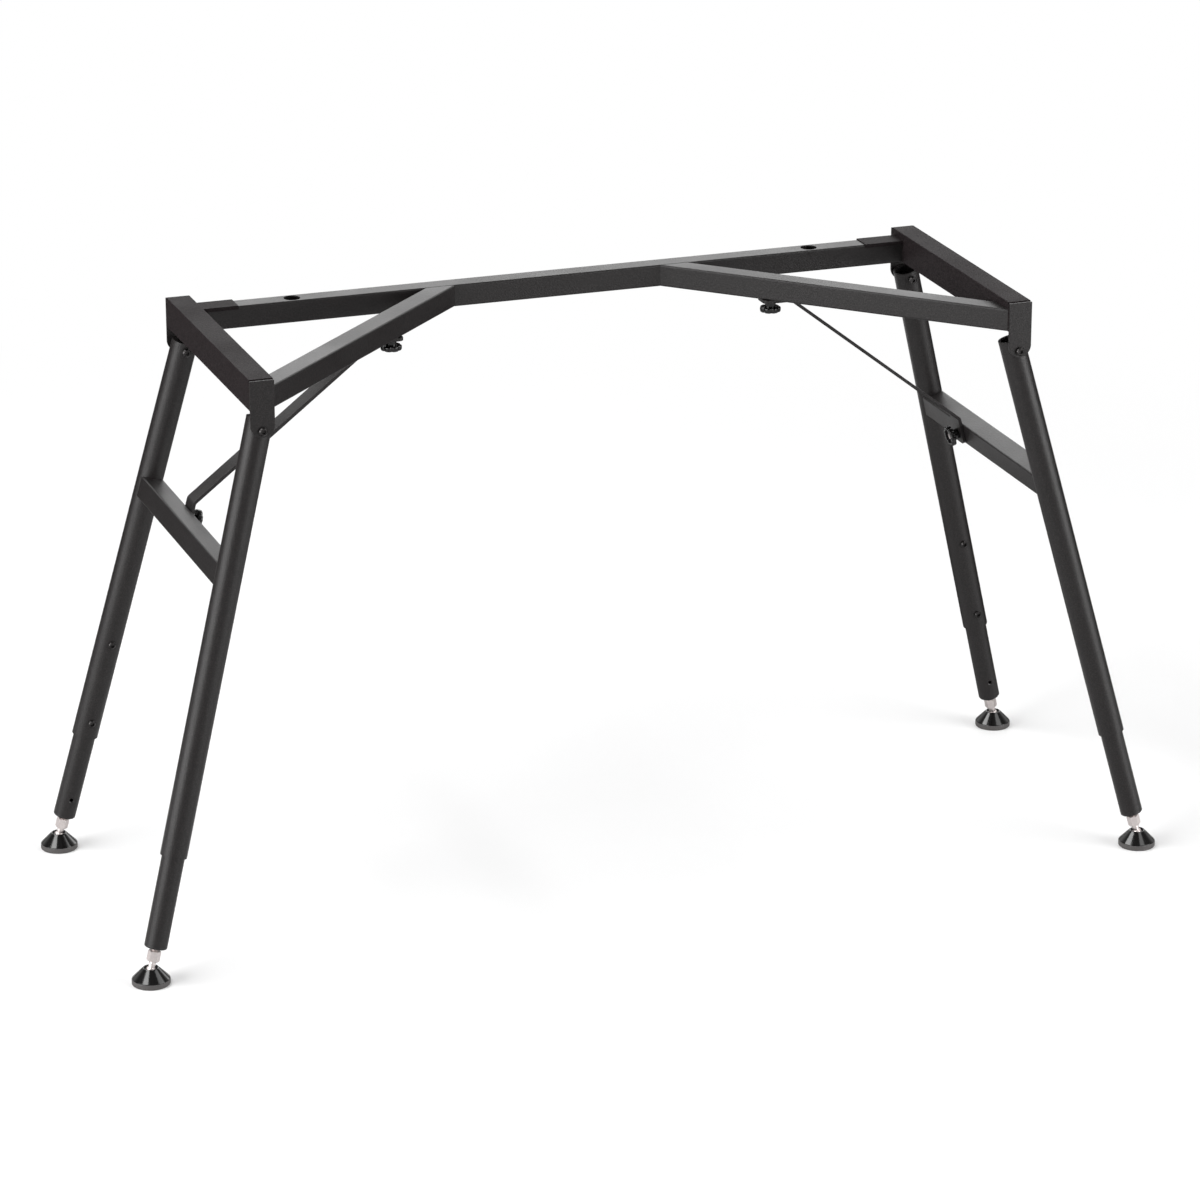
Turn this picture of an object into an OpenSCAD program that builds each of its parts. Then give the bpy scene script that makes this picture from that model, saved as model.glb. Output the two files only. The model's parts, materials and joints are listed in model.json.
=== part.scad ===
// Folding table-style organ stand: a welded top frame, two hinged leg frames
// with telescoping legs and levelling feet, and two knob-clamped braces.
// Millimetres, +Z up, origin on the floor under the middle of the stand.
// The length runs along X and the long rear rail lies on the +Y side.

/* [Top frame] */
// Overall length over the end channels
frame_length = 1070; // [800:5:1300]
// Depth between the inner faces of the front and rear end tabs
frame_depth = 398.2; // [300:0.1:520]
// Width of an end channel
channel_w = 32; // [24:0.5:50]
// Height of an end channel
channel_h = 40; // [34:0.5:60]
// Sheet thickness of an end channel
channel_wall = 2.5; // [1.5:0.1:4]
// Shadow gap between the channel's top sheet and each end tab
top_gap = 2.5; // [0:0.1:6]
// Side of the square tube of the rails and cross tubes
rail_size = 30; // [20:0.5:40]
// Wall of the square tube
rail_wall = 2; // [1.2:0.1:3]
// Outer corner radius of the square tube
rail_corner = 2.5; // [2.2:0.1:5]
// Step from the channel tops down to the rail tops
rail_step = 10.5; // [4:0.1:20]
// Distance from the rear tabs to the back of the rear rail
rail_setback = 8.7; // [4:0.1:40]
// Length of rear rail left free between the two diagonals
centre_span = 293.4; // [150:0.1:500]
// Distance from the front tabs to the front end of each diagonal
diag_inset = 3; // [0:0.1:60]
// Length of the cap plates on the rear rail's ends
cap_len = 56; // [20:0.5:120]
// Thickness of the cap plates
cap_t = 1.2; // [0.8:0.1:3]
// Depth of the cap plates' folded lips
cap_lip = 4; // [2:0.1:12]
// Diameter of the two accessory holes in the rear rail
socket_d = 22.3; // [10:0.1:25]
// Spacing of the two accessory holes
socket_spacing = 738.5; // [400:0.5:900]

/* [End tabs] */
// Thickness of the pivot tabs
tab_t = 3; // [2:0.1:6]
// Drop of each tab's top edge below the channel top
tab_step = 1.2; // [0:0.1:5]
// Drop from the channel top to the pivot axis
pivot_drop = 67.5; // [60:0.5:90]
// Tab length below the pivot axis
tab_below = 8.5; // [7:0.5:20]
// Gap between a leg tube and its tab, at the pivot
tab_clear = 1.8; // [1.5:0.1:4]

/* [Legs] */
// Sideways splay of the leg frames, degrees
splay_side = 14.34; // [0:0.01:20]
// Spread of the legs within each leg frame, degrees
splay_depth = 5.1; // [0:0.1:8]
// Outside diameter of the sliding lower tubes
inner_od = 30; // [24:0.5:40]
// Wall of the sliding lower tubes
inner_wall = 2; // [1:0.1:3]
// Wall of the upper leg tubes
leg_wall = 2.45; // [1.5:0.05:4]
// Radial clearance of running and sliding fits
run_fit = 0.05; // [0.01:0.01:0.1]
// Upper tube length above the pivot axis
leg_above = 12; // [8:0.5:20]
// Upper tube length below the pivot axis
leg_below = 565.3; // [400:0.1:700]
// Height of the lower height bolt above the upper tube's end
bolt_rise = 23.8; // [10:0.1:60]
// Pitch of the height holes
hole_pitch = 117.4; // [40:0.1:130]
// Number of height holes in a lower tube
hole_count = 5; // [2:1:6]
// Height hole that the lower bolt sits in, counted from the lowest
hole_used = 1; // [0:1:3]
// Height of the lowest hole above the lower tube's end
hole_rise = 29.2; // [15:0.1:60]
// Tube length above the top height hole
tube_over = 18; // [10:0.5:40]
// Diameter of the height holes
hole_d = 4.8; // [3:0.1:10]
// Countersink diameter of the height holes
sink_d = 8.4; // [5:0.1:14]
// Drop along the leg frame from the pivots to the cross tube's middle
cross_drop = 196.6; // [120:0.5:300]

/* [Bolts] */
// Head diameter of the pivot bolts and their sleeve nuts
pivot_head_d = 11.6; // [9:0.1:16]
// Head height of the pivot bolts
pivot_head_h = 4.5; // [2:0.1:8]
// Diameter of the pivot sleeves
pivot_d = 8; // [5:0.1:10]
// Head diameter of the height bolts
bolt_head_d = 10; // [7:0.1:14]
// Head height of the height bolts
bolt_head_h = 4; // [2:0.1:8]
// Depth of the flats that the height bolts' heads sit on
seat_depth = 0.3; // [0:0.1:1]
// Shank diameter of the height bolts
bolt_d = 6; // [4:0.1:8]
// Hexagon key size of all bolts
key_size = 5; // [3:0.5:6]

/* [Braces] */
// Width of the flat bar
bar_w = 30; // [20:0.5:40]
// Thickness of the flat bar
bar_t = 4.5; // [3:0.1:6]
// Distance from the leg pivots to the upper knobs, towards the middle
knob_in = 251; // [150:0.5:320]
// Bar length from the upper knob to its tip
bar_tip = 14; // [10:0.5:25]
// Bar length from the upper knob to the upper bend
bar_flat = 25.7; // [18:0.1:60]
// Inside radius of the bends
bend_r = 4; // [2:0.5:10]
// Bar length from the lower bend to the lower knob
lap_above = 25.3; // [16:0.1:60]
// Bar length below the lower knob
lap_below = 13; // [9:0.5:14]
// Gap between clamped faces of parts that come apart
face_gap = 0.3; // [0.2:0.05:0.5]

/* [Star knobs] */
// Diameter over the lobes
knob_d = 28.5; // [20:0.5:40]
// Height of the lobed disc
knob_h = 7; // [4:0.1:12]
// Hub diameter
hub_d = 14.6; // [12:0.1:20]
// Hub height
hub_h = 7.6; // [3:0.1:12]
// Rounding of the disc's edges
knob_round = 1.4; // [0.4:0.1:3]
// Thickness of the closed face over the stud
knob_face = 2; // [1:0.1:4]
// Number of lobes
lobe_count = 7; // [5:1:10]
// Stud diameter
stud_d = 8; // [5:0.1:10]

/* [Feet] */
// Diameter of the pads
pad_d = 50; // [35:0.5:80]
// Height of the rubber soles
sole_h = 7.2; // [3:0.1:10]
// Chamfer of the soles' top edges
sole_round = 0.4; // [0.1:0.1:1]
// Overall height of the pads
pad_h = 22.5; // [18:0.1:30]
// Diameter of the pads' top rims
pad_top_d = 22; // [20.5:0.1:30]
// Width of the pads' top rims
pad_rim = 1.8; // [1:0.1:3]
// Chamfer of the pads' top rims
rim_round = 1; // [0.2:0.1:1.5]
// Height of the ball centres above the floor
ball_h = 17.5; // [14:0.1:22]
// Ball diameter
ball_d = 14; // [10:0.1:15]
// Neck diameter above the ball
neck_d = 9; // [6:0.1:9.5]
// Length from a lower tube's end to the ball centre
foot_reach = 31.1; // [26:0.1:60]
// Width across flats of the hexagon
hex_af = 15; // [10:0.5:19]
// Height of the hexagon
hex_h = 14; // [5:0.1:15]
// How far the hexagon was last turned about its leg
hex_turn = -18; // [-30:1:30]
// Free length between the tube end and the hexagon
hex_gap = 4; // [1:0.1:8]
// Diameter of the threaded spindle
spindle_d = 10; // [8:0.5:14]
// Spindle length inside the tube
spindle_in = 42; // [20:1:60]
// Thickness of the end plugs' flanges
plug_flange = 3; // [2:0.1:6]
// Length of the end plugs inside the tubes
plug_len = 20; // [10:0.5:40]

/* [Display] */
// Piece to draw, or all

/* [Hidden] */
$fn = 64;
eps = 0.01;
over = 1;
bend_steps = 8;

// Leg tube radii: the upper tube's bore runs on the lower tube
leg_bore = inner_od / 2 + run_fit;
leg_r = leg_bore + leg_wall;

// Leg lengths along the tube axis, measured down from the pivot axis
bolt_low = leg_below - bolt_rise;
bolt_high = bolt_low - hole_pitch;
lower_end = bolt_low + hole_used * hole_pitch + hole_rise;
lower_top = lower_end - hole_rise - (hole_count - 1) * hole_pitch - tube_over;
ball_down = lower_end + foot_reach;

// Heights, from the floor up
pivot_z = ball_h + ball_down * cos(splay_side) * cos(splay_depth);
frame_top = pivot_z + pivot_drop;
channel_low = frame_top - channel_h;
rail_top = frame_top - rail_step;
rail_low = rail_top - rail_size;
tab_top = frame_top - tab_step;
tab_low = pivot_z - tab_below;

// Plan positions
half_len = frame_length / 2;
half_depth = frame_depth / 2;
channel_in = half_len - channel_w;
pivot_x = half_len - channel_w / 2;
pivot_y = half_depth - tab_clear - leg_r / cos(splay_depth);
rail_back = half_depth - rail_setback;
rail_front = rail_back - rail_size;
rail_mid = rail_back - rail_size / 2;
tapped_d = stud_d + 4 * run_fit;

// Diagonals: front edge from the rear rail's front face to the channel
diag_x = centre_span / 2;
diag_dx = channel_in - diag_x;
diag_dy = rail_front + half_depth - diag_inset;
diag_angle = atan2(diag_dy, diag_dx);
diag_len = norm([diag_dx, diag_dy]);

// Upper knobs, under the middle of each diagonal
knob_x = pivot_x - knob_in;
knob_y = rail_front - (knob_x - diag_x) * tan(diag_angle) + rail_size / 2 / cos(diag_angle);

// Brace, seen from the front on the right-hand side, as (x, z) of the bar's middle
bar_z = rail_low - face_gap - bar_t / 2;
bend_x = knob_x + bar_flat;
lap_n = -rail_size / 2 - face_gap - bar_t / 2;
bend_drop = cross_drop - lap_above;
low_x = pivot_x + lap_n * cos(splay_side) + bend_drop * sin(splay_side);
low_z = pivot_z + lap_n * sin(splay_side) - bend_drop * cos(splay_side);
run_len = norm([low_x - bend_x, bar_z - low_z]);
bar_slope = atan2(bar_z - low_z, low_x - bend_x);
lap_slope = 90 - splay_side;
lap_len = lap_above + lap_below;
bend_mid = bend_r + bar_t / 2;
lap_turn = lap_slope - bar_slope;
cut_high = bend_mid * tan(bar_slope / 2);
cut_low = bend_mid * tan(lap_turn / 2);

function side_x(left) = left ? -1 : 1;

// Rounded square of a tube's section, centred
module soft_square(size, radius) {
  square([size, size - 2 * radius], center = true);
  square([size - 2 * radius, size], center = true);
  for (x = [-1, 1])
    for (y = [-1, 1])
      translate([x * (size / 2 - radius), y * (size / 2 - radius)])
        circle(radius);
}

// Square tube along X, centred on its axis
module square_tube(length) {
  rotate([90, 0, 90])
    linear_extrude(length, center = true)
      difference() {
        soft_square(rail_size, rail_corner);
        soft_square(rail_size - 2 * rail_wall, rail_corner - rail_wall);
      }
}

// Moves to a leg: its local -Z runs down the tube axis from the pivot
module on_leg(sx, sy, down = 0) {
  translate([sx * pivot_x, sy * pivot_y, pivot_z])
    rotate([sy * splay_depth, -sx * splay_side, 0])
      translate([0, 0, -down])
        children();
}

// Moves to a leg frame's plane, at mid-depth between its two pivots
module on_frame(sx, down = 0) {
  translate([sx * pivot_x, 0, pivot_z])
    rotate([0, -sx * splay_side, 0])
      translate([0, 0, -down])
        children();
}

module pivot_bore(sx, radius) {
  translate([sx * pivot_x, 0, pivot_z])
    rotate([90, 0, 0])
      cylinder(h = frame_depth + 4 * tab_t, r = radius, center = true);
}

module rear_rail() {
  color([0.2, 0.2, 0.2])
    difference() {
      translate([0, rail_mid, rail_top - rail_size / 2])
        square_tube(2 * channel_in);
      for (x = [-1, 1])
        translate([x * socket_spacing / 2, rail_mid, rail_low - over])
          cylinder(h = rail_size + 2 * over, d = socket_d);
    }
}

module diagonal(left) {
  sx = side_x(left);
  color([0.2, 0.2, 0.2])
    difference() {
      mirror([left ? 1 : 0, 0, 0])
        intersection() {
          translate([diag_x, rail_front, rail_top - rail_size / 2])
            rotate([0, 0, -diag_angle])
              translate([diag_len / 2, rail_size / 2, 0])
                square_tube(diag_len + 4 * rail_size);
          translate([0, rail_front - 2 * frame_depth, rail_low - over])
            cube([channel_in, 2 * frame_depth, rail_size + 2 * over]);
        }
      translate([sx * knob_x, knob_y, rail_low - over])
        cylinder(h = rail_wall + 2 * over, d = tapped_d);
    }
}

module end_channel(left) {
  sx = side_x(left);
  color([0.17, 0.17, 0.17])
    translate([sx * pivot_x, 0, 0])
      difference() {
        translate([-channel_w / 2, -half_depth, channel_low])
          cube([channel_w, frame_depth, channel_h]);
        translate([-channel_w / 2 + channel_wall, -half_depth - over, channel_low - over])
          cube([channel_w - 2 * channel_wall, frame_depth + 2 * over, channel_h - channel_wall + over]);
        for (y = [-half_depth - over, half_depth - top_gap])
          translate([-channel_w / 2 - over, y, frame_top - channel_wall - eps])
            cube([channel_w + 2 * over, top_gap + over, channel_wall + over]);
      }
}

module tab(left, front) {
  sx = side_x(left);
  sy = front ? -1 : 1;
  y = front ? -half_depth - tab_t : half_depth;
  arc_z = tab_low + channel_w / 2;
  color([0.2, 0.2, 0.2])
    difference() {
      union() {
        translate([sx * pivot_x - channel_w / 2, y, arc_z])
          cube([channel_w, tab_t, tab_top - arc_z]);
        translate([sx * pivot_x, y + tab_t, arc_z])
          rotate([90, 0, 0])
            cylinder(h = tab_t, d = channel_w);
      }
      pivot_bore(sx, pivot_d / 2);
    }
}

module rail_cap(left) {
  sx = side_x(left);
  color([0.17, 0.17, 0.17])
    translate([sx * (channel_in - cap_len / 2), rail_mid, rail_top])
      difference() {
        translate([-cap_len / 2, -rail_size / 2 - cap_t, -cap_lip])
          cube([cap_len, rail_size + 2 * cap_t, cap_lip + cap_t]);
        translate([0, 0, -rail_size / 2])
          square_tube(cap_len + 2 * over);
        translate([0, 0, -rail_size / 2])
          cube([cap_len + 2 * over, rail_size - rail_corner, rail_size], center = true);
      }
}

// Round head along +Z from its seat, with a hexagon socket
module bolt_head(diameter, height) {
  difference() {
    rotate_extrude()
      polygon([
        [0, 0], [diameter / 2, 0], [diameter / 2, height * 0.6],
        [diameter / 2 - height * 0.35, height], [0, height]
      ]);
    translate([0, 0, height * 0.4])
      cylinder(h = height, d = key_size / cos(30), $fn = 6);
  }
}

module pivot_bolts() {
  color([0.1, 0.1, 0.1])
    for (sx = [-1, 1])
      for (sy = [-1, 1])
        translate([sx * pivot_x, sy * (half_depth + tab_t), pivot_z])
          rotate([-sy * 90, 0, 0])
            bolt_head(pivot_head_d, pivot_head_h);
}

// Sleeve nuts: the axles that the legs turn on, screwed to the bolts outside
module pivot_sleeve_nuts() {
  nut_y = pivot_y - leg_r / cos(splay_depth) - pivot_head_d / 2 * tan(splay_depth) - face_gap;
  color([0.1, 0.1, 0.1])
    for (sx = [-1, 1])
      for (sy = [-1, 1])
        translate([sx * pivot_x, sy * nut_y, pivot_z])
          rotate([sy * 90, 0, 0]) {
            bolt_head(pivot_head_d, pivot_head_h);
            translate([0, 0, nut_y - half_depth - tab_t])
              cylinder(h = half_depth + tab_t - nut_y, d = pivot_d);
          }
}

// One height bolt at the local origin's height, pointing at the stand's middle
module height_bolt(sy) {
  rotate([sy * 90, 0, 0]) {
    translate([0, 0, leg_r - seat_depth])
      bolt_head(bolt_head_d, bolt_head_h);
    translate([0, 0, leg_bore])
      cylinder(h = leg_wall, d = bolt_d);
  }
}

module leg(left, front) {
  sx = side_x(left);
  sy = front ? -1 : 1;
  color([0.16, 0.16, 0.16])
    difference() {
      on_leg(sx, sy, leg_below)
        difference() {
          cylinder(h = leg_above + leg_below, r = leg_r);
          translate([0, 0, -over])
            cylinder(h = leg_above + leg_below + 2 * over, r = leg_bore);
        }
      pivot_bore(sx, pivot_d / 2 + run_fit);
      for (down = [bolt_low, bolt_high])
        on_leg(sx, sy, down)
          rotate([sy * 90, 0, 0]) {
            translate([0, 0, leg_r - seat_depth])
              cylinder(h = bolt_head_h, d = bolt_head_d);
            cylinder(h = leg_r, d = bolt_d);
          }
    }
}

module height_bolts(left) {
  color([0.1, 0.1, 0.1])
    for (sy = [-1, 1])
      for (down = [bolt_low, bolt_high])
        on_leg(side_x(left), sy, down)
          height_bolt(sy);
}

module cross_tube(left) {
  sx = side_x(left);
  reach = pivot_y + cross_drop * tan(splay_depth);
  color([0.18, 0.18, 0.18])
    difference() {
      on_frame(sx, cross_drop)
        rotate([0, 0, 90])
          square_tube(2 * reach);
      for (sy = [-1, 1])
        on_leg(sx, sy, leg_below)
          cylinder(h = leg_above + leg_below, r = leg_r);
      on_frame(sx, cross_drop)
        translate([-sx * (rail_size / 2 - rail_wall / 2), knob_y, 0])
          rotate([0, 90, 0])
            cylinder(h = rail_wall + 2 * over, d = tapped_d, center = true);
    }
}

module lower_tube(left, front) {
  sx = side_x(left);
  sy = front ? -1 : 1;
  length = lower_end - plug_flange - lower_top;
  color([0.16, 0.16, 0.16])
    on_leg(sx, sy, lower_end - plug_flange)
      difference() {
        cylinder(h = length, d = inner_od);
        translate([0, 0, -over])
          cylinder(h = length + 2 * over, d = inner_od - 2 * inner_wall);
        for (i = [0 : hole_count - 1])
          translate([0, 0, hole_rise - plug_flange + i * hole_pitch])
            rotate([sy * 90, 0, 0]) {
              cylinder(h = inner_od, d = hole_d);
              translate([0, 0, inner_od / 2 - inner_wall / 2])
                cylinder(h = inner_wall / 2 + eps, d1 = hole_d, d2 = sink_d);
            }
      }
}

module end_plug(left, front) {
  edge_r = plug_flange * 0.8;
  color([0.1, 0.1, 0.1])
    on_leg(side_x(left), front ? -1 : 1, lower_end)
      difference() {
        union() {
          rotate_extrude()
            union() {
              square([inner_od / 2 - edge_r, plug_flange]);
              translate([0, edge_r])
                square([inner_od / 2, plug_flange - edge_r]);
              intersection() {
                translate([inner_od / 2 - edge_r, edge_r])
                  circle(edge_r);
                square([inner_od / 2, edge_r]);
              }
            }
          cylinder(h = plug_flange + plug_len, d = inner_od - 2 * inner_wall);
        }
        translate([0, 0, -over])
          cylinder(h = plug_flange + plug_len + 2 * over, d = spindle_d + 2 * run_fit);
      }
}

module spindle(left, front) {
  corner_r = hex_af / 2 / cos(30);
  bevel = corner_r - hex_af / 2;
  color([0.78, 0.75, 0.73])
    on_leg(side_x(left), front ? -1 : 1, ball_down) rotate([0, 0, hex_turn]) {
      sphere(d = ball_d);
      cylinder(h = foot_reach, d = neck_d);
      translate([0, 0, foot_reach - hex_gap - hex_h])
        intersection() {
          cylinder(h = hex_h, r = corner_r, $fn = 6);
          rotate_extrude()
            polygon([
              [0, 0], [hex_af / 2, 0], [corner_r, bevel], [corner_r, hex_h - bevel],
              [hex_af / 2, hex_h], [0, hex_h]
            ]);
        }
      translate([0, 0, foot_reach - hex_gap - eps])
        cylinder(h = spindle_in + hex_gap, d = spindle_d);
    }
}

// Centre of a pad on the floor, under its ball
module on_pad(left, front) {
  sx = side_x(left);
  sy = front ? -1 : 1;
  translate([
    sx * (pivot_x + ball_down * sin(splay_side) * cos(splay_depth)),
    sy * (pivot_y + ball_down * sin(splay_depth)),
    0
  ])
    children();
}

module pad(left, front) {
  socket_r = ball_d / 2 + face_gap;
  mouth_r = pad_top_d / 2 - pad_rim;
  color([0.05, 0.05, 0.05])
    on_pad(left, front)
      difference() {
        rotate_extrude()
          polygon([
            [0, sole_h], [pad_d / 2 - sole_round, sole_h], [pad_d / 2 - sole_round, sole_h + 1],
            [pad_top_d / 2 + rim_round / 2, pad_h - rim_round], [pad_top_d / 2 - rim_round / 2, pad_h],
            [0, pad_h]
          ]);
        translate([0, 0, ball_h])
          sphere(r = socket_r);
        translate([0, 0, ball_h])
          cylinder(h = pad_h - ball_h + eps, r1 = socket_r, r2 = mouth_r);
      }
}

module sole(left, front) {
  color([0.12, 0.12, 0.12])
    on_pad(left, front)
      rotate_extrude()
        polygon([
          [0, 0], [pad_d / 2 - 2 * sole_round, 0], [pad_d / 2, 2 * sole_round],
          [pad_d / 2, sole_h - sole_round], [pad_d / 2 - sole_round, sole_h], [0, sole_h]
        ]);
}

function arc(centre, radius, from, to) =
  [for (i = [0 : bend_steps]) centre + radius * [
    cos(from + (to - from) * i / bend_steps), sin(from + (to - from) * i / bend_steps)
  ]];

function reversed(list) = [for (i = [len(list) - 1 : -1 : 0]) list[i]];

// Bent flat bar in side view: level tip, slope, then the lap on the cross tube
module bar_profile() {
  lap_angle = 90 - bar_slope - lap_turn;
  outer_r = bend_mid + bar_t / 2;
  first = [bar_tip + bar_flat - cut_high, -bend_mid];
  slope_dir = [cos(bar_slope), -sin(bar_slope)];
  second = first + (run_len - cut_high - cut_low) * slope_dir;
  lap_up = [cos(lap_angle), sin(lap_angle)];
  lap_dir = [sin(lap_angle), -cos(lap_angle)];
  lap_end = second + bend_mid * lap_up + (lap_len - cut_low) * lap_dir;
  polygon(concat(
    [[0, bar_t / 2]],
    arc(first, outer_r, 90, 90 - bar_slope),
    arc(second, outer_r, 90 - bar_slope, lap_angle),
    [lap_end + bar_t / 2 * lap_up, lap_end - bar_t / 2 * lap_up],
    reversed(arc(second, bend_r, 90 - bar_slope, lap_angle)),
    reversed(arc(first, bend_r, 90, 90 - bar_slope)),
    [[0, -bar_t / 2]]
  ));
}

module brace(left) {
  color([0.18, 0.18, 0.18])
    mirror([left ? 1 : 0, 0, 0])
      difference() {
        translate([knob_x - bar_tip, knob_y + bar_w / 2, bar_z])
          rotate([90, 0, 0])
            linear_extrude(bar_w)
              bar_profile();
        translate([knob_x, knob_y, bar_z])
          cylinder(h = 3 * bar_t, d = stud_d + 2 * run_fit, center = true);
        on_frame(1, cross_drop)
          translate([lap_n, knob_y, 0])
            rotate([0, 90, 0])
              cylinder(h = 3 * bar_t, d = stud_d + 2 * run_fit, center = true);
      }
}

// Moves to a knob's seat on the bar: its local +Z points away from the bar
module on_knob(left, upper) {
  mirror([left ? 1 : 0, 0, 0])
    if (upper)
      translate([knob_x, knob_y, bar_z - bar_t / 2])
        rotate([180, 0, 0])
          children();
    else
      on_frame(1, cross_drop)
        translate([lap_n - bar_t / 2, knob_y, 0])
          rotate([0, -90, 0])
            children();
}

module knob(left, upper) {
  disc_low = face_gap + hub_h;
  disc_high = disc_low + knob_h;
  groove_r = knob_d * PI / lobe_count / 4.2;
  color([0.04, 0.04, 0.04])
    on_knob(left, upper)
      difference() {
        rotate_extrude()
          polygon([
            [stud_d / 2, face_gap], [hub_d / 2, face_gap], [hub_d / 2, disc_low],
            [knob_d / 2 - knob_round, disc_low], [knob_d / 2, disc_low + knob_round],
            [knob_d / 2, disc_high - knob_round], [knob_d / 2 - knob_round, disc_high],
            [0, disc_high], [0, disc_high - knob_face], [stud_d / 2, disc_high - knob_face]
          ]);
        for (i = [0 : lobe_count - 1])
          rotate([0, 0, (i + 0.5) * 360 / lobe_count])
            translate([knob_d / 2 + groove_r * 0.45, 0, disc_low - over])
              cylinder(h = knob_h + 2 * over, r = groove_r);
      }
}

module stud(left, upper) {
  color([0.6, 0.6, 0.6])
    on_knob(left, upper)
      translate([0, 0, -bar_t + run_fit])
        cylinder(h = bar_t + face_gap + hub_h + knob_h - knob_face - run_fit, d = stud_d);
}

rear_rail();
diagonal(true);  // diagonal_left
diagonal(false);  // diagonal_right
end_channel(true);  // end_channel_left
end_channel(false);  // end_channel_right
tab(true, true);  // tab_front_left
tab(true, false);  // tab_rear_left
tab(false, true);  // tab_front_right
tab(false, false);  // tab_rear_right
rail_cap(true);  // rail_cap_left
rail_cap(false);  // rail_cap_right
pivot_bolts();
pivot_sleeve_nuts();
leg(true, true);  // leg_front_left
leg(true, false);  // leg_rear_left
leg(false, true);  // leg_front_right
leg(false, false);  // leg_rear_right
cross_tube(true);  // cross_tube_left
cross_tube(false);  // cross_tube_right
height_bolts(true);  // height_bolts_left
height_bolts(false);  // height_bolts_right
lower_tube(true, true);  // lower_front_left
lower_tube(true, false);  // lower_rear_left
lower_tube(false, true);  // lower_front_right
lower_tube(false, false);  // lower_rear_right
end_plug(true, true);  // plug_front_left
end_plug(true, false);  // plug_rear_left
end_plug(false, true);  // plug_front_right
end_plug(false, false);  // plug_rear_right
spindle(true, true);  // spindle_front_left
spindle(true, false);  // spindle_rear_left
spindle(false, true);  // spindle_front_right
spindle(false, false);  // spindle_rear_right
pad(true, true);  // pad_front_left
pad(true, false);  // pad_rear_left
pad(false, true);  // pad_front_right
pad(false, false);  // pad_rear_right
sole(true, true);  // sole_front_left
sole(true, false);  // sole_rear_left
sole(false, true);  // sole_front_right
sole(false, false);  // sole_rear_right
brace(true);  // brace_left
brace(false);  // brace_right
knob(true, true);  // knob_upper_left
knob(false, true);  // knob_upper_right
knob(true, false);  // knob_lower_left
knob(false, false);  // knob_lower_right
stud(true, true);  // stud_upper_left
stud(false, true);  // stud_upper_right
stud(true, false);  // stud_lower_left
stud(false, false);  // stud_lower_right
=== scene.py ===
"""Finishes and detailed pieces of a folding, table-style organ stand.

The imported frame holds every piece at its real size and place, in metres, +Z up.
Each sub-assembly below rounds, turns or threads its own pieces, dresses them, and
hangs them on the frame's bodies, so that they fold and slide with the stand.
"""

import json
import logging
import math
from dataclasses import dataclass, field
from enum import Enum
from typing import Callable, Sequence

import bmesh
import bpy
from mathutils import Matrix, Vector

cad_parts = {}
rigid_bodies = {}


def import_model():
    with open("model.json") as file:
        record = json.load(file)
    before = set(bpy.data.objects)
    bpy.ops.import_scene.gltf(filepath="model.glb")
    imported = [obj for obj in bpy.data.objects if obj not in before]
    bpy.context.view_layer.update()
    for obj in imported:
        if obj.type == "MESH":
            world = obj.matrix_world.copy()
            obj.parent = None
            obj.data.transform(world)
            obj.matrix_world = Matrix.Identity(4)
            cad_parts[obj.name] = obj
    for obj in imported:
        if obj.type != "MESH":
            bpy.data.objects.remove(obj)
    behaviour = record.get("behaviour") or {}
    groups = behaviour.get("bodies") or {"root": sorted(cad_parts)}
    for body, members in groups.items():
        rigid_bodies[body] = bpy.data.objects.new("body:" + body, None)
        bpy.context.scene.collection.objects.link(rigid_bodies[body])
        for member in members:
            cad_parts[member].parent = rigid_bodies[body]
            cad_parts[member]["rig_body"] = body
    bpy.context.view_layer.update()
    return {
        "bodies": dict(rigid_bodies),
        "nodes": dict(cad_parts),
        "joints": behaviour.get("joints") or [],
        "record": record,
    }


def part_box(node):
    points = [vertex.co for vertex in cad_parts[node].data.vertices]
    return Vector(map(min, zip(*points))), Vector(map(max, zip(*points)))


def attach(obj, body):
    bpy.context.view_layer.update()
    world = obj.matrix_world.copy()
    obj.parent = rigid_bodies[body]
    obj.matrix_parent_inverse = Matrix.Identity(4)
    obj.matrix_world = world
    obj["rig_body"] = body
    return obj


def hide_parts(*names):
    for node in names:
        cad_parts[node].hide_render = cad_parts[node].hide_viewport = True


MM = 0.001
LOG = logging.getLogger("organ_stand")

# Corners that are this near are one, and faces that differ by less than this angle are one flat.
MERGE_MM = 0.002
FLAT_DEG = 0.3
# Number of faces round a turned piece.
TURN_STEPS = 96
# The attribute that holds how far up its own axis a turned piece's vertex lies.
LENGTH_NAME = "length_mm"
# The sockets of a Mix node go by number, because several of them share a name.
SHARE = 0
NUMBER_A = 2
NUMBER_B = 3
COLOUR_A = 6
COLOUR_B = 7
COLOUR_OUT = 2

EdgeTest = Callable[[bmesh.types.BMEdge], bool]
Colour = tuple[float, float, float, float]


class Slot(Enum):
    """The record's material slots, by the finish that each one asks for."""

    RAIL_COAT = "powder_coat"
    CHANNEL_COAT = "powder_coat_end"
    SCREW = "black_screw"
    PLUG = "black_plug"
    ZINC = "zinc"
    PAD = "gloss_pad"
    SOLE = "rubber_sole"
    KNOB = "knob_plastic"
    STUD = "stud_steel"


class Side(Enum):
    """The two ends of the stand, by their word in the frame's names."""

    LEFT = "left"
    RIGHT = "right"


class Row(Enum):
    """The two long sides of the stand, by their word in the frame's names."""

    FRONT = "front"
    REAR = "rear"


class Level(Enum):
    """The two ends of a brace, by their word in the frame's names."""

    UPPER = "upper"
    LOWER = "lower"


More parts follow.
